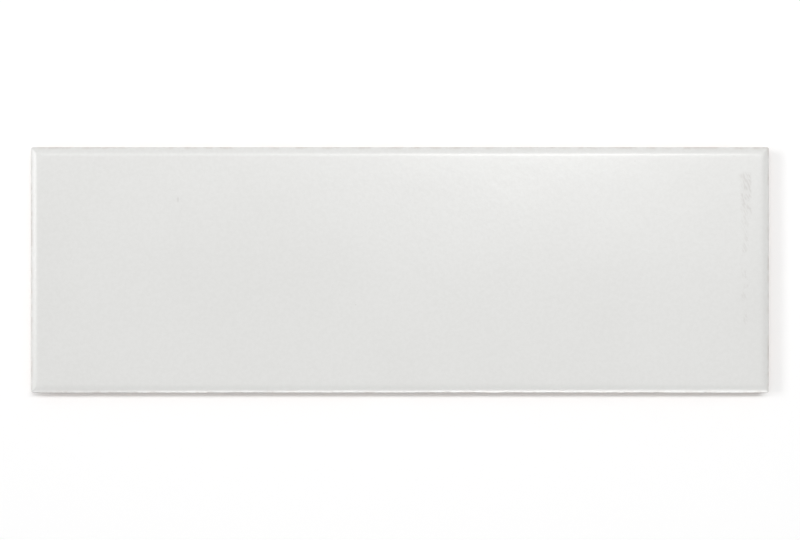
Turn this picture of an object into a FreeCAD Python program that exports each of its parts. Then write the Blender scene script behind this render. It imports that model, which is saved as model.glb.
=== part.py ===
"""White subway wall tile, dust-pressed and glazed in one piece, in millimetres.

The tile lies on its back. +X runs along its length, +Y across its width and +Z out of the glazed face.
The origin is the middle of the plane that the ribs of the back stand on.
"""

import FreeCAD, Part
import os

import Sketcher

# Driving dimensions of the tile, as alias, value and meaning
SIZES = [
    ("tile_length", 300.0, "overall length"),
    ("tile_width", 100.0, "overall width"),
    ("tile_thickness", 8.0, "overall thickness, back ribs included"),
    ("corner_radius", 1.2, "radius of the four upright corners"),
    ("bevel_width", 2.8, "width of the cushioned edge, seen from the front"),
    ("bevel_drop", 0.85, "fall of the cushioned edge from the face"),
    ("shoulder_radius", 7.0, "rounding where the flat face turns into the cushioned edge"),
    ("arris_radius", 1.0, "rounding where the cushioned edge turns into the side"),
    ("back_chamfer", 0.8, "chamfer around the back"),
    ("key_size", 12.0, "side of one square recess in the back"),
    ("key_depth", 0.7, "depth of a recess"),
    ("key_draft", 35.0, "slope of a recess wall from upright, in degrees"),
    ("key_rib", 3.0, "width of the rib between two recesses"),
]

# The shoulder's rounding takes at most this share of the slope
SHOULDER_SHARE = 0.95

# Slope of the cushioned edge, and the reach of the roundings at its foot and top, as expressions
SLOPE_ANGLE = "atan(Sizes.bevel_drop / Sizes.bevel_width)"
SLOPE_LENGTH = "hypot(Sizes.bevel_drop; Sizes.bevel_width)"
ARRIS_REACH = f"Sizes.arris_radius * tan((90 deg - {SLOPE_ANGLE}) / 2)"
ARRIS_FOOT = f"Sizes.tile_thickness - Sizes.bevel_drop - {ARRIS_REACH}"
SHOULDER_ROOM = f"{SHOULDER_SHARE} * ({SLOPE_LENGTH} - {ARRIS_REACH})"
SHOULDER_RADIUS = f"min(Sizes.shoulder_radius; {SHOULDER_ROOM} / tan({SLOPE_ANGLE} / 2))"

# As many recesses as fit the back, with at least the width of a rib left between them and the chamfer
KEY_PITCH = "(Sizes.key_size + Sizes.key_rib)"
KEY_BORDERS = "2 * (Sizes.back_chamfer + Sizes.key_rib)"
KEYS_ALONG = f"floor((Sizes.tile_length - {KEY_BORDERS} + Sizes.key_rib) / {KEY_PITCH})"
KEYS_ACROSS = f"floor((Sizes.tile_width - {KEY_BORDERS} + Sizes.key_rib) / {KEY_PITCH})"

# How far a cut reaches past the slab
CLEARANCE = 1.0

# Points of a sketch: the start, the end and the centre of a line or an arc, and the sketch's own origin
START, END, CENTRE = 1, 2, 3
ORIGIN = (-1, 1)

Z_AXIS = FreeCAD.Vector(0, 0, 1)
DEGREE = FreeCAD.Units.Quantity("1 deg").getValueAs("rad").Value


def make_sheet(doc):
    """The spreadsheet of driving dimensions: a value and its meaning in each row."""
    sheet = doc.addObject("Spreadsheet::Sheet", "Sizes")
    for row, (alias, value, meaning) in enumerate(SIZES, start=1):
        sheet.set(f"A{row}", meaning)
        sheet.set(f"B{row}", str(value))
        sheet.setAlias(f"B{row}", alias)
    doc.recompute()


def plane_of(body, role):
    """One of the three planes through the body's origin."""
    return next(p for p in body.Origin.OriginFeatures if p.Role == role)


def sketch_on(body, role, name, along="0", across="0"):
    """A sketch on a plane through the origin, with its own origin at the given place on it."""
    sketch = body.newObject("Sketcher::SketchObject", name)
    sketch.AttachmentSupport = [(plane_of(body, role), "")]
    sketch.MapMode = "FlatFace"
    sketch.setExpression("AttachmentOffset.Base.x", along)
    sketch.setExpression("AttachmentOffset.Base.y", across)
    return sketch


def hold(sketch, *constraint):
    """Adds a constraint to a sketch."""
    sketch.addConstraint(Sketcher.Constraint(*constraint))


def bind(sketch, name, constraint, expression):
    """Adds a named constraint and ties its value to an expression."""
    index = sketch.addConstraint(Sketcher.Constraint(*constraint))
    sketch.renameConstraint(index, name)
    sketch.setExpression(f"Constraints.{name}", expression)


def draw_rounded_rectangle(sketch, length, width, radius):
    """Draws a rounded rectangle about the sketch's origin, with its three sizes bound to expressions."""
    half_long, half_wide, round_off = 3.0, 2.0, 1.0
    quarter = 90 * DEGREE
    arcs = []
    for turn, (sign_x, sign_y) in enumerate([(1, -1), (1, 1), (-1, 1), (-1, -1)]):
        centre = FreeCAD.Vector(sign_x * half_long, sign_y * half_wide, 0)
        circle = Part.Circle(centre, Z_AXIS, round_off)
        arc = Part.ArcOfCircle(circle, (turn - 1) * quarter, turn * quarter)
        arcs.append(sketch.addGeometry(arc))
    sides = []
    for turn in range(4):
        start = sketch.getPoint(arcs[turn - 1], END)
        end = sketch.getPoint(arcs[turn], START)
        sides.append(sketch.addGeometry(Part.LineSegment(start, end)))
    for turn in range(4):
        hold(sketch, "Tangent", arcs[turn - 1], END, sides[turn], START)
        hold(sketch, "Tangent", sides[turn], END, arcs[turn], START)
        hold(sketch, "Horizontal" if turn % 2 == 0 else "Vertical", sides[turn])
    for turn in range(3):
        hold(sketch, "Equal", arcs[turn], arcs[turn + 1])
    hold(sketch, "Symmetric", arcs[0], CENTRE, arcs[2], CENTRE, *ORIGIN)
    long_part = ("DistanceX", arcs[3], CENTRE, arcs[0], CENTRE, 2 * half_long)
    wide_part = ("DistanceY", arcs[0], CENTRE, arcs[1], CENTRE, 2 * half_wide)
    bind(sketch, "straight_length", long_part, f"{length} - 2 * {radius}")
    bind(sketch, "straight_width", wide_part, f"{width} - 2 * {radius}")
    bind(sketch, "rounding", ("Radius", arcs[0], round_off), radius)


def draw_square(sketch, side):
    """Draws a square about the sketch's origin, with its side bound to an expression."""
    half_side = 1.0
    corners = [(1, -1), (1, 1), (-1, 1), (-1, -1)]
    points = [FreeCAD.Vector(half_side * x, half_side * y, 0) for x, y in corners]
    sides = [sketch.addGeometry(Part.LineSegment(points[turn - 1], points[turn])) for turn in range(4)]
    for turn in range(4):
        hold(sketch, "Coincident", sides[turn - 1], END, sides[turn], START)
        hold(sketch, "Horizontal" if turn % 2 == 0 else "Vertical", sides[turn])
    hold(sketch, "Equal", sides[0], sides[1])
    hold(sketch, "Symmetric", sides[0], START, sides[2], START, *ORIGIN)
    bind(sketch, "side", ("DistanceX", sides[0], START, sides[0], END, 2 * half_side), side)


def draw_cushioned_edge(sketch, span):
    """Draws what is cut from the face along one side: above the arris, the slope and the shoulder.

    The first drawing is only near the true shape, and the constraints bring it to size.
    """
    side, face, foot = 50.0, 8.0, 6.4
    small, large, inset = 1.0, 7.0, 4.0
    slant, upright = 73 * DEGREE, 90 * DEGREE
    arris_circle = Part.Circle(FreeCAD.Vector(side - small, foot, 0), Z_AXIS, small)
    arris = sketch.addGeometry(Part.ArcOfCircle(arris_circle, 0, slant))
    shoulder_circle = Part.Circle(FreeCAD.Vector(side - inset, face - large, 0), Z_AXIS, large)
    shoulder = sketch.addGeometry(Part.ArcOfCircle(shoulder_circle, slant, upright))
    slope_line = Part.LineSegment(sketch.getPoint(arris, END), sketch.getPoint(shoulder, START))
    slope = sketch.addGeometry(slope_line)
    points = [
        sketch.getPoint(shoulder, END),
        FreeCAD.Vector(side - inset, face + CLEARANCE, 0),
        FreeCAD.Vector(side + CLEARANCE, face + CLEARANCE, 0),
        FreeCAD.Vector(side + CLEARANCE, foot, 0),
        sketch.getPoint(arris, START),
    ]
    lines = [sketch.addGeometry(Part.LineSegment(*points[turn : turn + 2])) for turn in range(4)]
    inner, upper, outer, lower = lines
    hold(sketch, "Tangent", arris, END, slope, START)
    hold(sketch, "Tangent", slope, END, shoulder, START)
    hold(sketch, "Perpendicular", shoulder, END, inner, START)
    for turn in range(3):
        hold(sketch, "Coincident", lines[turn], END, lines[turn + 1], START)
    hold(sketch, "Perpendicular", lower, END, arris, START)
    for line in (inner, outer):
        hold(sketch, "Vertical", line)
    for line in (upper, lower):
        hold(sketch, "Horizontal", line)
    hold(sketch, "DistanceY", inner, START, inner, END, CLEARANCE)
    hold(sketch, "DistanceX", lower, END, lower, START, CLEARANCE)
    bind(sketch, "arris_radius", ("Radius", arris, small), "Sizes.arris_radius")
    bind(sketch, "shoulder_radius", ("Radius", shoulder, large), SHOULDER_RADIUS)
    bind(sketch, "slope_angle", ("Angle", slope, upright + slant), f"180 deg - {SLOPE_ANGLE}")
    bind(sketch, "side", ("DistanceX", *ORIGIN, arris, START, side), f"{span} / 2")
    bind(sketch, "arris_foot", ("DistanceY", *ORIGIN, arris, START, foot), ARRIS_FOOT)
    bind(sketch, "face", ("DistanceY", *ORIGIN, shoulder, END, face), "Sizes.tile_thickness")


def draw_back_chamfer(sketch, span):
    """Draws the triangle that is cut from the back along the same side."""
    side, leg = 50.0, 3.0
    outer, lower = side + CLEARANCE, -CLEARANCE
    points = [
        FreeCAD.Vector(outer - leg, lower, 0),
        FreeCAD.Vector(outer, lower, 0),
        FreeCAD.Vector(outer, lower + leg, 0),
    ]
    lines = [sketch.addGeometry(Part.LineSegment(points[turn - 1], points[turn])) for turn in range(3)]
    level, upright = lines[1:]
    for turn in range(3):
        hold(sketch, "Coincident", lines[turn - 1], END, lines[turn], START)
    hold(sketch, "Horizontal", level)
    hold(sketch, "Vertical", upright)
    hold(sketch, "Equal", level, upright)
    hold(sketch, "DistanceY", level, END, *ORIGIN, CLEARANCE)
    bind(sketch, "chamfer_side", ("DistanceX", *ORIGIN, level, END, outer), f"{span} / 2 + {CLEARANCE}")
    leg_size = ("DistanceX", level, START, level, END, leg)
    bind(sketch, "chamfer_leg", leg_size, f"Sizes.back_chamfer + 2 * {CLEARANCE}")


def press_slab(body):
    """The slab, straight-sided with rounded corners."""
    outline = sketch_on(body, "XY_Plane", "outline")
    draw_rounded_rectangle(outline, "Sizes.tile_length", "Sizes.tile_width", "Sizes.corner_radius")
    slab = body.newObject("PartDesign::Pad", "slab")
    slab.Profile = outline
    slab.setExpression("Length", "Sizes.tile_thickness")
    body.Document.recompute()


def press_edges(body, name, profile_plane, mirror_plane, span):
    """Finishes one pair of sides: the cuts run along one side and are mirrored to the other."""
    profile = sketch_on(body, profile_plane, f"{name}_profile")
    draw_cushioned_edge(profile, span)
    draw_back_chamfer(profile, span)
    edge = body.newObject("PartDesign::Pocket", name)
    edge.Profile = profile
    edge.SideType = "Symmetric"
    edge.Type = "ThroughAll"
    body.Document.recompute()
    pair = body.newObject("PartDesign::Mirrored", f"{name}_pair")
    pair.Originals = [edge]
    pair.MirrorPlane = (plane_of(body, mirror_plane), [""])
    body.Tip = pair
    body.Document.recompute()


def press_keys(body):
    """Rows of shallow square recesses in the back, which adhesive keys into."""
    cell = sketch_on(
        body,
        "XY_Plane",
        "key_cell",
        along=f"-({KEYS_ALONG} - 1) / 2 * {KEY_PITCH}",
        across=f"-({KEYS_ACROSS} - 1) / 2 * {KEY_PITCH}",
    )
    draw_square(cell, "Sizes.key_size")
    key = body.newObject("PartDesign::Pocket", "key")
    key.Profile = cell
    key.Reversed = True
    key.setExpression("Length", "Sizes.key_depth")
    key.setExpression("TaperAngle", "-Sizes.key_draft")
    body.Document.recompute()
    keys = body.newObject("PartDesign::LinearPattern", "keys")
    keys.Originals = [key]
    keys.Direction = (cell, ["H_Axis"])
    keys.Direction2 = (cell, ["V_Axis"])
    keys.Mode = "Extent"
    keys.Mode2 = "Extent"
    keys.setExpression("Length", f"({KEYS_ALONG} - 1) * {KEY_PITCH}")
    keys.setExpression("Length2", f"({KEYS_ACROSS} - 1) * {KEY_PITCH}")
    keys.setExpression("Occurrences", KEYS_ALONG)
    keys.setExpression("Occurrences2", KEYS_ACROSS)
    body.Tip = keys
    body.Document.recompute()


def check(doc, parts):
    """Stops the build if anything in the document failed, or a part isn't one sound solid."""
    for item in doc.Objects:
        if "Invalid" in item.State or "Error" in item.State:
            raise RuntimeError(f"{item.Name} failed: {item.State}")
    for part in parts:
        shape = part.Shape
        if shape.isNull() or not shape.isValid() or len(shape.Solids) != 1:
            raise RuntimeError(f"{part.Label} isn't one sound solid")


def main():
    doc = FreeCAD.newDocument("subway_wall_tile")
    make_sheet(doc)
    tile = doc.addObject("PartDesign::Body", "wall_tile")
    tile.Label = "wall_tile"
    press_slab(tile)
    press_edges(tile, "long_edge", "YZ_Plane", "XZ_Plane", "Sizes.tile_width")
    press_edges(tile, "short_edge", "XZ_Plane", "YZ_Plane", "Sizes.tile_length")
    press_keys(tile)
    tile.Placement = FreeCAD.Placement()
    doc.recompute()
    check(doc, [tile])
    os.makedirs("parts", exist_ok=True)
    tile.Shape.exportStep(f"parts/{tile.Label}.step")
    box = tile.Shape.BoundBox
    print(f"{tile.Label}: {box.XLength:.2f} x {box.YLength:.2f} x {box.ZLength:.2f} mm")
    print(f"volume {tile.Shape.Volume / 1000:.2f} cm3, {len(tile.Shape.Faces)} faces")


main()
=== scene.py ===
# %% [markdown]
# # A white wall tile, from pressed slab to satin glaze
# This lesson dresses one ceramic wall tile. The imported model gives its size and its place, and every step
# below works from those. A new mesh is shaped with edit-mode tools, gets the fine relief of a fired glaze,
# and takes the place of the plain solid. Then come its finish, the studio and the camera.

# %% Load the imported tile
import math

import bmesh
import bpy
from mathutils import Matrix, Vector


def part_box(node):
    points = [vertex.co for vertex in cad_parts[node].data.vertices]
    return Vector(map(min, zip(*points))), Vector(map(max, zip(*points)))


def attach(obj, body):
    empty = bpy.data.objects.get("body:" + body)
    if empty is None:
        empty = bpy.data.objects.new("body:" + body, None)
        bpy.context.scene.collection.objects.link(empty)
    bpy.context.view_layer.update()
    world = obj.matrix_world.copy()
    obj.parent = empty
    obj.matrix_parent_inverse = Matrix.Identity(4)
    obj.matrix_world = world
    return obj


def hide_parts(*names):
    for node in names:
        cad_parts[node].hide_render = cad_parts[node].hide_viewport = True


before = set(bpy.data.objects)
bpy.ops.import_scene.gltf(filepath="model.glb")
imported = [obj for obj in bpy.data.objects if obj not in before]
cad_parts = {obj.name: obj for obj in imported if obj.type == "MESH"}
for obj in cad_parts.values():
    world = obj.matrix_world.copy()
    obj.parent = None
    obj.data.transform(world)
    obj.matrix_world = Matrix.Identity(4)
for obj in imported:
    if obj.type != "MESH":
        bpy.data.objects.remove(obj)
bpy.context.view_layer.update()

MM = 0.001
TOUCH = 0.001 * MM

low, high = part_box("wall_tile")
LENGTH, WIDTH, THICKNESS = high - low
print(f"tile: {LENGTH / MM:.1f} x {WIDTH / MM:.1f} x {THICKNESS / MM:.1f} mm")

# %% [markdown]
# ## The slab
# The tile starts as clay dust pressed in a steel die, so its body is a plain slab with slightly rounded
# upright corners. A cube of the right size and a bevel on four edges give that. An edit-mode operator works
# on what is selected, so a small helper selects faces or edges by a rule.

# %% Helpers: select by rule
def pick(kind, belongs):
    """In edit mode, selects only the edges or faces for which belongs(item) is true, and counts them."""
    bpy.ops.mesh.select_mode(type=kind)
    bpy.ops.mesh.select_all(action="DESELECT")
    shape = bmesh.from_edit_mesh(tile.data)
    shape.normal_update()
    items = shape.edges if kind == "EDGE" else shape.faces
    chosen = [item for item in items if belongs(item)]
    for item in chosen:
        item.select_set(True)
    bmesh.update_edit_mesh(tile.data)
    return len(chosen)


def stands_upright(edge):
    """A rule for edges: the two ends are above one another."""
    first, second = (corner.co for corner in edge.verts)
    return (first.xy - second.xy).length < TOUCH


print("selection helpers ready")

# %% Press the slab
CORNER_RADIUS = 1.2 * MM
CORNER_STEPS = 6

bpy.ops.object.select_all(action="DESELECT")
bpy.ops.mesh.primitive_cube_add(
    size=1.0, location=(0, 0, THICKNESS / 2), scale=(LENGTH, WIDTH, THICKNESS)
)
tile = bpy.context.object
tile.name = "glazed_tile"
bpy.ops.object.transform_apply(location=True, rotation=True, scale=True)

bpy.ops.object.mode_set(mode="EDIT")
corners = pick("EDGE", stands_upright)
bpy.ops.mesh.bevel(offset=CORNER_RADIUS, segments=CORNER_STEPS, affect="EDGES", clamp_overlap=False)
print(f"slab pressed, {corners} upright corners rounded")

# %% [markdown]
# ## The cushioned edge
# The face of this tile isn't flat to the very rim. Some three millimetres in, it rolls over a soft shoulder
# and slopes down to the arris, the line where face and side meet. Light catches on that shoulder, and it is
# the tile's most telling line. The outline of this edge bulges outwards everywhere, so it can be pared from
# the slab with straight cuts, as a wire pares clay: bisect cuts through everything, throws away what lies
# beyond the plane and fills the wound. A run of slightly turned cuts makes a rounding. Where the cuts of two
# sides meet, they leave a mitre at each corner, as on the real tile.

# %% Measure the edge
BEVEL_WIDTH = 2.8 * MM
BEVEL_DROP = 0.85 * MM
SHOULDER_RADIUS = 7.0 * MM
ARRIS_RADIUS = 1.0 * MM

slope = math.atan(BEVEL_DROP / BEVEL_WIDTH)
shoulder_reach = SHOULDER_RADIUS * math.tan(slope / 2)
arris_reach = ARRIS_RADIUS * math.tan((math.pi / 2 - slope) / 2)
arris_height = THICKNESS - BEVEL_DROP
side_top = arris_height - arris_reach
print(f"slope {math.degrees(slope):.1f} degrees, shoulder rolls over {2 * shoulder_reach / MM:.2f} mm")

# %% Pare the edges
BACK_CHAMFER = 0.8 * MM
CHAMFER_TILT = math.radians(135)
SHOULDER_STEPS = 5
ARRIS_STEPS = 5
CUT_TOLERANCE = TOUCH / 10


def rounding(reach, height, radius, start, end, steps):
    """Cuts that touch an arc about a point, from one tilt to another: reach, height and tilt of each."""
    tilts = [start + (end - start) * (step + 0.5) / steps for step in range(steps)]
    return [(reach + radius * math.sin(tilt), height + radius * math.cos(tilt), tilt) for tilt in tilts]


def edge_cuts(side):
    """All the cuts along one side, which is this far from the middle. A tilt is measured from straight up."""
    shoulder_start = side - BEVEL_WIDTH - shoulder_reach
    shoulder_middle = THICKNESS - SHOULDER_RADIUS
    return (
        rounding(shoulder_start, shoulder_middle, SHOULDER_RADIUS, 0, slope, SHOULDER_STEPS)
        + [(side, arris_height, slope)]
        + rounding(side - ARRIS_RADIUS, side_top, ARRIS_RADIUS, slope, math.pi / 2, ARRIS_STEPS)
        + [(side, BACK_CHAMFER, CHAMFER_TILT)]
    )


cuts = 0
for axis, span in enumerate((LENGTH, WIDTH)):
    for sign in (-1, 1):
        for reach, height, tilt in edge_cuts(span / 2):
            place, outward = [0, 0, height], [0, 0, math.cos(tilt)]
            place[axis] = sign * reach
            outward[axis] = sign * math.sin(tilt)
            bpy.ops.mesh.select_all(action="SELECT")
            bpy.ops.mesh.bisect(
                plane_co=place, plane_no=outward, use_fill=True, clear_outer=True, threshold=CUT_TOLERANCE
            )
            cuts += 1
print(f"edges pared with {cuts} cuts")

# %% [markdown]
# ## The keyed back
# A wall tile is pressed with rows of shallow square recesses in its back, so that adhesive can grip it.
# Each recess could be a boolean cut, but that leaves untidy faces. Here the back is sliced into a grid with
# bisect, the grid's squares are inset with depth, all at once, and the corners of the recesses are rounded.

# %% Slice the back into a grid
KEY_SIZE = 12.0 * MM
KEY_RIB = 3.0 * MM
KEY_PITCH = KEY_SIZE + KEY_RIB


def lies_at(height):
    """A rule for edges and faces: every corner is at one height."""
    return lambda item: all(abs(corner.co.z - height) < TOUCH for corner in item.verts)


def key_centres(span):
    """Centres of the recesses that fit a span of the back, in a row about its middle."""
    count = math.floor((span - 2 * BACK_CHAMFER - KEY_RIB) / KEY_PITCH)
    return [(index - (count - 1) / 2) * KEY_PITCH for index in range(count)]


def slice_faces(belongs, axis, place):
    """Cuts the chosen faces with a plane across one axis."""
    pick("FACE", belongs)
    normal = [0, 0, 0]
    normal[axis] = 1
    bpy.ops.mesh.bisect(plane_co=[place * part for part in normal], plane_no=normal)


key_columns = key_centres(LENGTH)
key_rows = key_centres(WIDTH)
for axis, centres in enumerate((key_columns, key_rows)):
    for centre in centres:
        for edge_place in (centre - KEY_SIZE / 2, centre + KEY_SIZE / 2):
            slice_faces(lies_at(0), axis, edge_place)
print(f"back sliced for {len(key_columns)} x {len(key_rows)} recesses")

# %% Sink the recesses
KEY_DEPTH = 0.7 * MM
KEY_SLOPE = math.radians(35)
KEY_ROUNDING = 1.4 * MM
KEY_STEPS = 3


def is_key(face):
    """A rule for faces: a square of the sliced back that becomes a recess."""
    middle = face.calc_center_median()
    near_column = any(abs(middle.x - x) < KEY_RIB / 2 for x in key_columns)
    near_row = any(abs(middle.y - y) < KEY_RIB / 2 for y in key_rows)
    return lies_at(0)(face) and near_column and near_row


def is_key_corner(edge):
    """A rule for edges: one that runs up the corner of a recess."""
    heights = sorted(corner.co.z for corner in edge.verts)
    lengthwise, crosswise = (abs(a - b) for a, b in zip(*(corner.co.xy for corner in edge.verts)))
    climbs = abs(heights[0]) < TOUCH and abs(heights[1] - KEY_DEPTH) < TOUCH
    return climbs and abs(lengthwise - crosswise) < TOUCH


keys = pick("FACE", is_key)
bpy.ops.mesh.inset(thickness=KEY_DEPTH * math.tan(KEY_SLOPE), depth=-KEY_DEPTH, use_individual=True)
pick("EDGE", is_key_corner)
bpy.ops.mesh.bevel(offset=KEY_ROUNDING, segments=KEY_STEPS, affect="EDGES", clamp_overlap=False)
print(f"{keys} recesses in the back")

# %% [markdown]
# ## A finer net
# A fired glaze is never quite flat, and relief needs corners to move. Subdividing the whole tile would give
# them, and would also waste thousands of faces on narrow strips. So the flat face, the slopes and the sides
# are first cut into patches about a centimetre across, and then only their long edges are subdivided. Square
# patches become fine squares, and narrow strips become ladders. A narrow border of the flat is left around
# the patches, which keeps the mitred corners out of the net.

# %% Cut the face and the sides into patches
BORDER = 1.5 * MM
PATCHES_ALONG = 24
PATCHES_ACROSS = 8
SIDE_ROWS = 8
TURNED_UNDER = -0.1
UPRIGHT = 0.01


def faces_up_or_out(face):
    """A rule for faces: the flat, the slopes and the sides, but not the back or its chamfer."""
    return face.normal.z > TURNED_UNDER


def is_side(face):
    """A rule for faces: the upright sides."""
    return abs(face.normal.z) < UPRIGHT and not lies_at(0)(face)


for axis, (span, patches) in enumerate(((LENGTH, PATCHES_ALONG), (WIDTH, PATCHES_ACROSS))):
    half = span / 2 - BEVEL_WIDTH - shoulder_reach - BORDER
    for line in range(patches + 1):
        slice_faces(faces_up_or_out, axis, half * (2 * line / patches - 1))
for row in range(1, SIDE_ROWS):
    slice_faces(is_side, 2, BACK_CHAMFER + (side_top - BACK_CHAMFER) * row / SIDE_ROWS)
print(f"{PATCHES_ALONG} x {PATCHES_ACROSS} patches on the flat, {SIDE_ROWS} rows on each side")

# %% Subdivide the long edges
NET_CUTS = 15
SHORTEST_CUT = 3.0 * MM


def runs_along_tile(edge):
    """A rule for edges: long, level, parallel to a side of the tile and not on the back."""
    first, second = (corner.co for corner in edge.verts)
    reach = second - first
    level = abs(reach.z) < TOUCH
    parallel = min(abs(reach.x), abs(reach.y)) < TOUCH
    return level and parallel and reach.length > SHORTEST_CUT and first.z > BACK_CHAMFER - TOUCH


pick("EDGE", runs_along_tile)
bpy.ops.mesh.subdivide(number_cuts=NET_CUTS)
bpy.ops.object.mode_set(mode="OBJECT")
triangles = sum(len(face.vertices) - 2 for face in tile.data.polygons)
print(f"net of {len(tile.data.polygons)} faces, {triangles} triangles")

# %% [markdown]
# ## The relief of the glaze and the body
# Molten glaze settles into long, shallow swells, with a finer orange peel on top, a few hundredths of a
# millimetre high. The bare body on the sides is rougher. It could be sculpted, but Displace modifiers with
# cloud textures do it evenly and the same each time. Each is held to its own vertex group and only pushes
# inwards, so the tile doesn't outgrow its solid. They are applied, so that the relief is in the mesh itself.

# %% Swell, peel and grain
RELIEF = (
    # name, where, direction, size of a lump, height
    ("glaze_swell", "glaze", "Z", 26.0 * MM, 0.10 * MM),
    ("glaze_peel", "glaze", "Z", 3.0 * MM, 0.022 * MM),
    ("body_wobble", "side", "NORMAL", 14.0 * MM, 0.10 * MM),
    ("body_grain", "side", "NORMAL", 1.6 * MM, 0.07 * MM),
)
AREAS = {
    "glaze": lambda place: place.z > arris_height + TOUCH,
    "side": lambda place: BACK_CHAMFER + TOUCH < place.z < side_top - TOUCH,
}
ONLY_INWARDS = 1.0
SMOOTH_ANGLE = math.radians(28)

for name, holds in AREAS.items():
    group = tile.vertex_groups.new(name=name)
    members = [corner.index for corner in tile.data.vertices if holds(corner.co)]
    group.add(members, 1.0, "REPLACE")
    print(f"{name}: {len(members)} points")

for name, area, direction, lump, height in RELIEF:
    pattern = bpy.data.textures.new(name, type="CLOUDS")
    pattern.noise_scale = lump
    pattern.noise_depth = 1
    bpy.ops.object.modifier_add(type="DISPLACE")
    displace = tile.modifiers[-1]
    displace.name = name
    displace.texture = pattern
    displace.texture_coords = "LOCAL"
    displace.vertex_group = area
    displace.direction = direction
    displace.mid_level = ONLY_INWARDS
    displace.strength = height
    bpy.ops.object.modifier_apply(modifier=name)
tile.vertex_groups.clear()
bpy.ops.object.shade_smooth_by_angle(angle=SMOOTH_ANGLE)
heights = [corner.co.z for corner in tile.data.vertices]
print(f"relief applied, tile from {min(heights) / MM:.3f} to {max(heights) / MM:.3f} mm high")

# %% [markdown]
# ## The finish, one layer at a time
# The whole tile is one material, because glaze and body are fused and the border between them is ragged.
# Every pattern reads the tile's own coordinates, turned into millimetres so that sizes below can be read off
# a ruler. A few helpers keep the node network short: each adds one or two nodes and gives back an output.

# %% Helpers for sums and colours
finish = bpy.data.materials.new("satin_white_glaze")
finish.use_nodes = True
nodes = finish.node_tree.nodes
links = finish.node_tree.links
shader = nodes["Principled BSDF"]
MIX_AMOUNT, MIX_FIRST, MIX_SECOND, MIX_RESULT = 0, 6, 7, 2


def plug(target, source):
    """Feeds an input from another node's output, or sets it to a plain value."""
    if isinstance(source, bpy.types.NodeSocket):
        links.new(source, target)
    else:
        target.default_value = source


def calc(operation, first, second=0.0):
    """One sum on two numbers."""
    node = nodes.new("ShaderNodeMath")
    node.operation = operation
    plug(node.inputs[0], first)
    plug(node.inputs[1], second)
    return node.outputs["Value"]


def ramp(value, start, end):
    """0 up to start, 1 from end on, and a smooth rise between them. It falls where start is above end."""
    node = nodes.new("ShaderNodeMapRange")
    node.interpolation_type = "SMOOTHSTEP"
    falls = start > end
    plug(node.inputs["Value"], value)
    plug(node.inputs["From Min"], min(start, end))
    plug(node.inputs["From Max"], max(start, end))
    plug(node.inputs["To Min"], float(falls))
    plug(node.inputs["To Max"], float(not falls))
    return node.outputs["Result"]


def blend(amount, first, second):
    """Mixes two colours. Several sockets of a Mix node share a name, so the colours' own are numbered."""
    node = nodes.new("ShaderNodeMix")
    node.data_type = "RGBA"
    plug(node.inputs[MIX_AMOUNT], amount)
    plug(node.inputs[MIX_FIRST], first)
    plug(node.inputs[MIX_SECOND], second)
    return node.outputs[MIX_RESULT]


print(f"sums and colours ready for {finish.name}")

# %% [markdown]
# ### A ruler and random lumps
# Noise that lies square to the tile can show in rows along it, so the noise patterns read a ruler that is
# turned askew. Only slanting strokes get a turn of their own.

# %% Helpers for patterns
LUMPS_MIDDLE = 0.5
ASKEW = (37.0, 24.0, 31.0)
UNSTRETCHED = (1.0, 1.0, 1.0)


def lumps(size, detail=2.0, where=None):
    """Soft random lumps about as large as size, in millimetres, from 0 to 1 about their middle."""
    node = nodes.new("ShaderNodeTexNoise")
    plug(node.inputs["Vector"], where or askew)
    plug(node.inputs["Scale"], 1.0 / size)
    plug(node.inputs["Detail"], detail)
    return node.outputs["Fac"]


def sway(size, reach, detail=2.0):
    """Lumps that rise and fall about zero, by half of reach at the most."""
    return calc("MULTIPLY", calc("SUBTRACT", lumps(size, detail), LUMPS_MIDDLE), reach)


def turned(angles, stretch):
    """The ruler turned, by degrees about each axis, and then stretched."""
    node = nodes.new("ShaderNodeMapping")
    node.vector_type = "TEXTURE"
    plug(node.inputs["Vector"], ruler)
    plug(node.inputs["Rotation"], [math.radians(angle) for angle in angles])
    plug(node.inputs["Scale"], stretch)
    return node.outputs["Vector"]


coordinates = nodes.new("ShaderNodeTexCoord")
in_millimetres = nodes.new("ShaderNodeVectorMath")
in_millimetres.operation = "SCALE"
links.new(coordinates.outputs["Object"], in_millimetres.inputs["Vector"])
plug(in_millimetres.inputs["Scale"], 1 / MM)
ruler = in_millimetres.outputs["Vector"]
split = nodes.new("ShaderNodeSeparateXYZ")
links.new(ruler, split.inputs["Vector"])
along, across, up = split.outputs
askew = turned(ASKEW, UNSTRETCHED)
print("patterns measured in millimetres")

# %% [markdown]
# ### White glaze
# The white is a little warm and never quite even: broad clouds, where the glaze lies thicker or thinner, and
# small mottling. Each changes it by about one part in fifty, which is just enough to stop the face looking
# like paper, as one flat colour would.

# %% Cloudy white
WHITE = (0.752, 0.752, 0.738, 1)
WHITE_THIN = (0.712, 0.711, 0.695, 1)
CLOUD_SIZE = 60.0
CLOUD_LIMITS = (0.35, 0.65)
CLOUD_SHARE = 0.30
MOTTLE_SIZE = 1.5
MOTTLE_LIMITS = (0.3, 0.7)
MOTTLE_SHARE = 0.45

clouds = ramp(lumps(CLOUD_SIZE), *CLOUD_LIMITS)
mottle = ramp(lumps(MOTTLE_SIZE), *MOTTLE_LIMITS)
thinness = calc("ADD", calc("MULTIPLY", clouds, CLOUD_SHARE), calc("MULTIPLY", mottle, MOTTLE_SHARE))
white = blend(thinness, WHITE, WHITE_THIN)
print("white glaze mixed")

# %% [markdown]
# ### Bare body
# Under the glaze is a porous, tan earthenware. It shows on the sides and on the back. Its colour is speckled,
# with darker grains of grog and paler dust.

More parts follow.
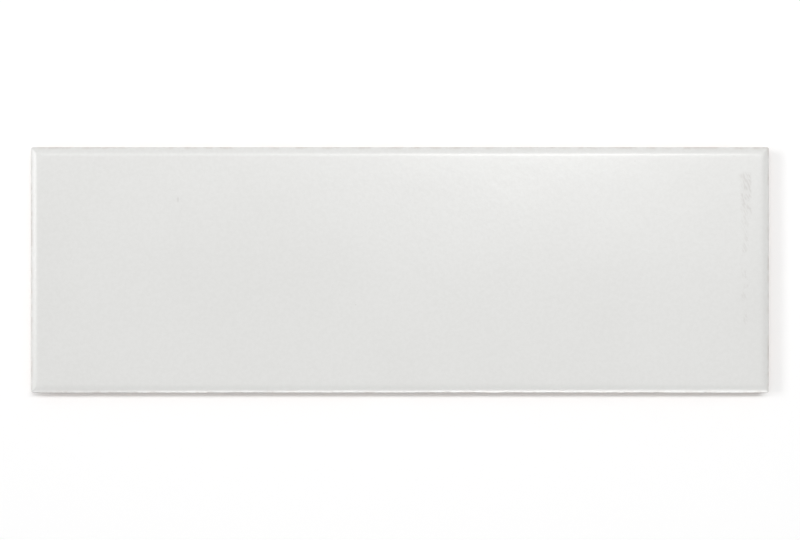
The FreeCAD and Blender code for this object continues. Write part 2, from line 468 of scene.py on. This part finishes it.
# %% Speckled biscuit
BISCUIT = (0.50, 0.345, 0.245, 1)
BISCUIT_DARK = (0.36, 0.235, 0.16, 1)
BISCUIT_DUST = (0.60, 0.47, 0.37, 1)
PATCH_SIZE = 12.0
PATCH_LIMITS = (0.35, 0.7)
DUST_SHARE = 0.6
GRAIN_SIZE = 0.9
GRAIN_LIMITS = (0.56, 0.72)
GRAIN_SHARE = 0.55

patchy = ramp(lumps(PATCH_SIZE, detail=4.0), *PATCH_LIMITS)
grains = ramp(lumps(GRAIN_SIZE), *GRAIN_LIMITS)
biscuit = blend(calc("MULTIPLY", patchy, DUST_SHARE), BISCUIT, BISCUIT_DUST)
biscuit = blend(calc("MULTIPLY", grains, GRAIN_SHARE), biscuit, BISCUIT_DARK)
print("biscuit mixed")

# %% [markdown]
# ### Where the glaze ends
# The glaze is poured over the face and runs a little way down each side before it stops. A straight border
# would look printed, so long drips and a short fringe make it ragged.

# %% Ragged glaze line
GLAZE_LINE = 5.9
DRIP_SIZE = 22.0
DRIP_REACH = 3.2
FRINGE_SIZE = 2.4
FRINGE_REACH = 1.8
GLAZE_FADE = (-0.12, 0.18)

drips = sway(DRIP_SIZE, DRIP_REACH)
fringe = sway(FRINGE_SIZE, FRINGE_REACH, detail=3.0)
over_line = calc("ADD", calc("SUBTRACT", up, GLAZE_LINE), calc("ADD", drips, fringe))
glazed = ramp(over_line, *GLAZE_FADE)
print(f"glaze runs about {arris_height / MM - GLAZE_LINE:.1f} mm below the arris")

# %% [markdown]
# ### Thin glaze and painted shade on the arris
# The glaze is thinnest on the arris, where it drew back in the kiln, and there the body under it dims the
# white in uneven patches. The grey of that dimming also paints in the shade on the outer arris, so it is
# partly the body and partly painted shade. Height alone finds the arris, because the whole rim lies below the
# flat.

# %% Dim patches and painted shade
ARRIS_DIMMEST = 7.0
ARRIS_UNDIMMED = 7.6
BODY_AND_SHADE_SHARE = 0.50
# a grey that stands both for the body under thin glaze and for painted shade on the arris
ARRIS_BODY_AND_SHADE = (0.50, 0.44, 0.40, 1)
DIM_PATCH_SIZE = 5.0
DIM_PATCH_LIMITS = (0.40, 0.66)

thin_and_shaded_arris = ramp(up, ARRIS_UNDIMMED, ARRIS_DIMMEST)
uneven = ramp(lumps(DIM_PATCH_SIZE, detail=3.0), *DIM_PATCH_LIMITS)
# the arris is dimmed partly by the body and partly as painted shade
body_and_painted_shade = calc("MULTIPLY", calc("MULTIPLY", thin_and_shaded_arris, BODY_AND_SHADE_SHARE), uneven)
glaze_colour = blend(body_and_painted_shade, white, ARRIS_BODY_AND_SHADE)
print(f"glaze thins out from {ARRIS_UNDIMMED} to {ARRIS_DIMMEST} mm high")

# %% [markdown]
# ### Rub marks
# Near one end something brown was rubbed against the face, and it left short slanting strokes. They are dense
# at the top of a narrow track and die out on the way down. They could be drawn one by one, but a stretched
# noise makes natural strokes, and smooth masks keep them in the track.

# %% The track and its strokes
TRACK_MIDDLE = 140.0
TRACK_WIDE = 3.2
TRACK_NARROW = 1.4
TRACK_TOP = 40.0
TRACK_DENSE = 30.0
TRACK_THIN = 9.0
TRACK_END = -24.0
TRACK_EDGE = (1.0, 0.4)
TOP_FADE = 2.5
END_FADE = 3.0
WANDER_SIZE = 6.0
WANDER_REACH = 4.0
CLUMP_SIZE = 4.5
CLUMP_LIMITS = (0.60, 0.46)
CLUMP_SHARE = 0.55
STROKE_SIZE = 0.6
STROKE_LENGTH = 4.5
STROKE_ANGLE = 25.0
STROKE_LIMITS = (0.42, 0.62)
SMEAR_SHARE = 0.30
RIM_MARGIN = 0.3

wander = sway(WANDER_SIZE, WANDER_REACH)
off_track = calc("ABSOLUTE", calc("ADD", calc("SUBTRACT", along, TRACK_MIDDLE), wander))
dense = ramp(across, TRACK_THIN, TRACK_DENSE)
half_width = calc("ADD", calc("MULTIPLY", dense, TRACK_WIDE - TRACK_NARROW), TRACK_NARROW)
in_track = ramp(calc("DIVIDE", off_track, half_width), *TRACK_EDGE)
below_top = ramp(calc("ADD", across, wander), TRACK_TOP, TRACK_TOP - TOP_FADE)
above_end = ramp(across, TRACK_END, TRACK_END + END_FADE)
clumps = calc("MULTIPLY", ramp(lumps(CLUMP_SIZE, detail=1.0), *CLUMP_LIMITS), CLUMP_SHARE)
crowd = calc("MULTIPLY", calc("MAXIMUM", dense, clumps), above_end)
on_face = ramp(up, arris_height / MM, THICKNESS / MM - RIM_MARGIN)
track = calc("MULTIPLY", calc("MULTIPLY", in_track, below_top), calc("MULTIPLY", crowd, on_face))

slant = turned((0.0, 0.0, STROKE_ANGLE), (1.0, STROKE_LENGTH, 1.0))
strokes = ramp(lumps(STROKE_SIZE, where=slant), *STROKE_LIMITS)
smear = calc("MULTIPLY", dense, SMEAR_SHARE)
rubbed = calc("MULTIPLY", calc("MAXIMUM", strokes, smear), track)
print(f"rub marks from {TRACK_TOP} down to {TRACK_END} mm across the tile")

# %% [markdown]
# ### A speck and a few pinholes
# One narrow dark speck sits in the glaze, and gas that escaped in the kiln left a few faint pinholes. The
# speck is a stretched distance from its place, and the pinholes are the cores of widely spaced cells.

# %% Speck and pinholes
SPECK_PLACE = (-90.0, 28.5)
SPECK_SIZE = 1.5
SPECK_CORE = 0.4
SPECK_NARROW = 2.4
PINHOLE_SPACING = 19.0
PINHOLE_SIZE = 0.016

speck_run = calc("MULTIPLY", calc("SUBTRACT", along, SPECK_PLACE[0]), SPECK_NARROW)
speck_rise = calc("SUBTRACT", across, SPECK_PLACE[1])
speck_reach = calc("SQRT", calc("ADD", calc("POWER", speck_run, 2.0), calc("POWER", speck_rise, 2.0)))
speck = calc("MULTIPLY", ramp(speck_reach, SPECK_SIZE, SPECK_SIZE * SPECK_CORE), on_face)

pits = nodes.new("ShaderNodeTexVoronoi")
plug(pits.inputs["Vector"], ruler)
plug(pits.inputs["Scale"], 1 / PINHOLE_SPACING)
pinholes = calc("MULTIPLY", ramp(pits.outputs["Distance"], PINHOLE_SIZE, PINHOLE_SIZE / 2), on_face)
print(f"speck at {SPECK_PLACE}, a pinhole about every {PINHOLE_SPACING} mm")

# %% Lay the marks on the glaze
RUB_COLOUR = (0.41, 0.375, 0.35, 1)
RUB_STRENGTH = 0.29
SPECK_COLOUR = (0.30, 0.27, 0.24, 1)
SPECK_STRENGTH = 0.16
PINHOLE_STRENGTH = 0.25

glaze_colour = blend(calc("MULTIPLY", rubbed, RUB_STRENGTH), glaze_colour, RUB_COLOUR)
glaze_colour = blend(calc("MULTIPLY", speck, SPECK_STRENGTH), glaze_colour, SPECK_COLOUR)
glaze_colour = blend(calc("MULTIPLY", pinholes, PINHOLE_STRENGTH), glaze_colour, SPECK_COLOUR)
plug(shader.inputs["Base Color"], blend(glazed, biscuit, glaze_colour))
print("colour complete")

# %% [markdown]
# ### Sheen
# The glaze is satin: it shows a soft glow where a lamp would be mirrored, and no sharp reflection. Fingers
# and cloths leave patches that are a touch shinier. The bare body is dull. Roughness carries all of that.

# %% Roughness
SATIN = 0.305
SATIN_SPREAD = 0.02
SMUDGE_SIZE = 28.0
RUB_DULL = 0.18
BISCUIT_DULL = 0.92

sheen = calc("ADD", SATIN, sway(SMUDGE_SIZE, SATIN_SPREAD * 2, detail=4.0))
sheen = calc("ADD", sheen, calc("MULTIPLY", rubbed, RUB_DULL))
satin_part = calc("MULTIPLY", glazed, sheen)
dull_part = calc("MULTIPLY", calc("SUBTRACT", 1.0, glazed), BISCUIT_DULL)
plug(shader.inputs["Roughness"], calc("ADD", satin_part, dull_part))
print(f"satin roughness {SATIN}, biscuit {BISCUIT_DULL}")

# %% [markdown]
# ### Texture too fine for the mesh
# Seen close, the glaze has a fine stipple about a millimetre across, and the body is gritty. Both are far
# too fine to model, so a bump node bends the light for them. Heights are in millimetres, and the node's
# distance turns them into metres.

# %% Stipple and grit
STIPPLE_SIZE = 1.3
STIPPLE_HEIGHT = 0.024
PEEL_SIZE = 3.2
PEEL_HEIGHT = 0.012
GRIT_SIZE = 0.5
GRIT_HEIGHT = 0.09
PIT_DEPTH = 0.03

stipple = calc("MULTIPLY", lumps(STIPPLE_SIZE), STIPPLE_HEIGHT)
peel = calc("MULTIPLY", lumps(PEEL_SIZE, detail=1.0), PEEL_HEIGHT)
grit = calc("MULTIPLY", lumps(GRIT_SIZE, detail=3.0), GRIT_HEIGHT)
smooth_height = calc("SUBTRACT", calc("ADD", stipple, peel), calc("MULTIPLY", pinholes, PIT_DEPTH))
glaze_height = calc("MULTIPLY", glazed, smooth_height)
body_height = calc("MULTIPLY", calc("SUBTRACT", 1.0, glazed), grit)
bump = nodes.new("ShaderNodeBump")
plug(bump.inputs["Strength"], 1.0)
plug(bump.inputs["Distance"], MM)
plug(bump.inputs["Height"], calc("ADD", glaze_height, body_height))
plug(shader.inputs["Normal"], bump.outputs["Normal"])
tile.data.materials.clear()
tile.data.materials.append(finish)
print(f"finish complete: {len(nodes)} nodes")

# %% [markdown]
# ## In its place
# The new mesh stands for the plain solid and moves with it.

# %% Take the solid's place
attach(tile, "root")
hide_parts("wall_tile")
print(f"{tile.name} replaces wall_tile")

# %% [markdown]
# ## The floor
# The tile lies on a plain white floor. More lamplight would make it white, but would bleach the tile as well.
# So the floor is lit like the tile, and a little light of its own, seen only by the camera and in
# reflections, lifts it to white and still leaves the tile's soft shadow. Further out the lamps reach it less,
# so there it gets more of its own light.

# %% White floor
FLOOR_SIZE = 8.0
FLOOR_GAP = 0.05 * MM
FLOOR_WHITE = (0.86, 0.86, 0.86, 1)
PURE_WHITE = (1, 1, 1, 1)
LIFT_NEAR, NEAR = 0.17, 0.3
LIFT_FAR, FAR = 0.75, 2.2


def seen_directly(tree):
    """1 for light that goes to the camera or is mirrored or let through, and 0 for light that only falls."""
    path = tree.nodes.new("ShaderNodeLightPath")
    seen = path.outputs["Is Camera Ray"]
    for name in ("Is Glossy Ray", "Is Transmission Ray"):
        either = tree.nodes.new("ShaderNodeMath")
        either.operation = "MAXIMUM"
        tree.links.new(seen, either.inputs[0])
        tree.links.new(path.outputs[name], either.inputs[1])
        seen = either.outputs["Value"]
    return seen


bpy.ops.mesh.primitive_plane_add(size=FLOOR_SIZE, location=(0, 0, -FLOOR_GAP))
floor = bpy.context.object
floor.name = "studio_floor"
paint = bpy.data.materials.new("matt_floor")
paint.use_nodes = True
tree = paint.node_tree
surface = tree.nodes["Principled BSDF"]
surface.inputs["Base Color"].default_value = FLOOR_WHITE
surface.inputs["Roughness"].default_value = 1.0
surface.inputs["Specular IOR Level"].default_value = 0.0
surface.inputs["Emission Color"].default_value = PURE_WHITE
spot = tree.nodes.new("ShaderNodeTexCoord")
away = tree.nodes.new("ShaderNodeVectorMath")
away.operation = "LENGTH"
tree.links.new(spot.outputs["Object"], away.inputs["Vector"])
own_light = tree.nodes.new("ShaderNodeMapRange")
for name, value in (("From Min", NEAR), ("From Max", FAR), ("To Min", LIFT_NEAR), ("To Max", LIFT_FAR)):
    own_light.inputs[name].default_value = value
tree.links.new(away.outputs["Value"], own_light.inputs["Value"])
lift = tree.nodes.new("ShaderNodeMath")
lift.operation = "MULTIPLY"
tree.links.new(seen_directly(tree), lift.inputs[0])
tree.links.new(own_light.outputs["Result"], lift.inputs[1])
tree.links.new(lift.outputs["Value"], surface.inputs["Emission Strength"])
floor.data.materials.append(paint)
print(f"{floor.name}: {FLOOR_SIZE:.0f} m wide")

# %% [markdown]
# ## The surroundings
# A white room surrounds the tile. To the camera and in reflections it is plain white, and it throws only a
# share of that on the tile as an even fill, so that the lamps can still shape it.

# %% White surroundings
FILL_SHARE = 0.343
SEEN_WHITE = 1.0

world = bpy.data.worlds.new("studio")
bpy.context.scene.world = world
world.use_nodes = True
tree = world.node_tree
backdrop = tree.nodes["Background"]
backdrop.inputs["Color"].default_value = PURE_WHITE
level = tree.nodes.new("ShaderNodeMapRange")
level.inputs["To Min"].default_value = FILL_SHARE
level.inputs["To Max"].default_value = SEEN_WHITE
tree.links.new(seen_directly(tree), level.inputs["Value"])
tree.links.new(level.outputs["Result"], backdrop.inputs["Strength"])
print(f"the surroundings give {FILL_SHARE} of the light")

# %% [markdown]
# ## Lamps
# Soft boxes stand around the tile. Each is described by where it is, how large it is and what share of the
# full light it throws on the face. Its energy is worked out from that, because a lamp that is further off or
# lower lights the face less. The shares and the fill add up to about one, so colours come out as written.
# The key box is mirrored just past the upper right of the face. The face glows there, and the shoulder along
# that edge catches it as a bright line. The wide box carries that line on to the left, and the left box
# brightens the left shoulder.

# %% Soft boxes
LAMPS = (
    # name, place, width along X, depth along Y, share of the light
    ("key_box", (0.29, 0.44, 1.55), 0.50, 0.22, 0.215),
    ("wide_box", (0.00, 0.50, 1.56), 1.64, 0.22, 0.318),
    ("left_box", (-3.90, 0.55, 3.30), 1.20, 1.70, 0.165),
)


def add_lamp(name, place, turn, width, depth, energy):
    """A rectangular lamp at a place, turned by an angle about each axis."""
    bpy.ops.object.light_add(type="AREA", location=place, rotation=turn)
    lamp = bpy.context.object
    lamp.name = name
    lamp.data.shape = "RECTANGLE"
    lamp.data.size = width
    lamp.data.size_y = depth
    lamp.data.energy = energy
    return lamp


for name, place, width, depth, share in LAMPS:
    x, y, z = place
    towards_tile = (-math.atan2(y, math.hypot(x, z)), math.atan2(x, z), 0)
    energy = share * math.pi**2 * math.hypot(*place) ** 3 / z
    box = add_lamp(name, place, towards_tile, width, depth, energy)
    print(f"{box.name}: {box.data.energy:.1f} W")

# %% [markdown]
# ## A glint on the lower arris
# A thin, bright line runs along the arris at the bottom of the picture and grows stronger to the right. A
# large lamp further off could draw it, but seen from behind, the flat face would mirror that lamp and turn
# white. So a narrow strip hangs a few millimetres from the edge, a hair nearer on the right. It only shows in
# reflections, which leaves the shading alone, and a grid keeps its beam narrow. The grid makes the strip
# brighter straight ahead, and its energy is worked out from the brightness wanted there.

# %% Glint strip
GLINT_LENGTH = 0.32
GLINT_DEPTH = 2.8 * MM
GLINT_PLACE = (0.0, -WIDTH / 2 - 3.75 * MM, 9.95 * MM)
GLINT_TILT = math.radians(45)
GLINT_SWING = math.radians(0.26)
GLINT_BEAM = math.radians(60)
GLINT_BRIGHTNESS = 16.0

half_beam = GLINT_BEAM / 2
through_grid = 1 - half_beam / math.tan(half_beam)
energy = GLINT_BRIGHTNESS * math.pi * GLINT_LENGTH * GLINT_DEPTH * through_grid
strip = add_lamp("near_glint", GLINT_PLACE, (GLINT_TILT, 0, GLINT_SWING), GLINT_LENGTH, GLINT_DEPTH, energy)
strip.data.spread = GLINT_BEAM
strip.visible_camera = False
strip.visible_diffuse = False
print(f"{strip.name}: {strip.data.energy:.4f} W")

# %% [markdown]
# ## The camera
# It looks straight down on the middle of the tile, with the tile's length across the picture.

# %% Look straight down
PICTURE_WIDTH = 800
TILE_WIDTH_IN_PICTURE = 740
LENS = 50.0
SENSOR = 36.0
NEAREST_SEEN = 10 * MM

seen_width = LENGTH * PICTURE_WIDTH / TILE_WIDTH_IN_PICTURE
camera_height = THICKNESS + seen_width * LENS / SENSOR
bpy.ops.object.camera_add(location=(0, 0, camera_height), rotation=(0, 0, 0))
camera = bpy.context.object
camera.data.lens = LENS
camera.data.sensor_width = SENSOR
camera.data.clip_start = NEAREST_SEEN
bpy.context.scene.camera = camera
bpy.context.scene.view_settings.view_transform = "Standard"
print(f"camera {camera_height:.3f} m above the floor")
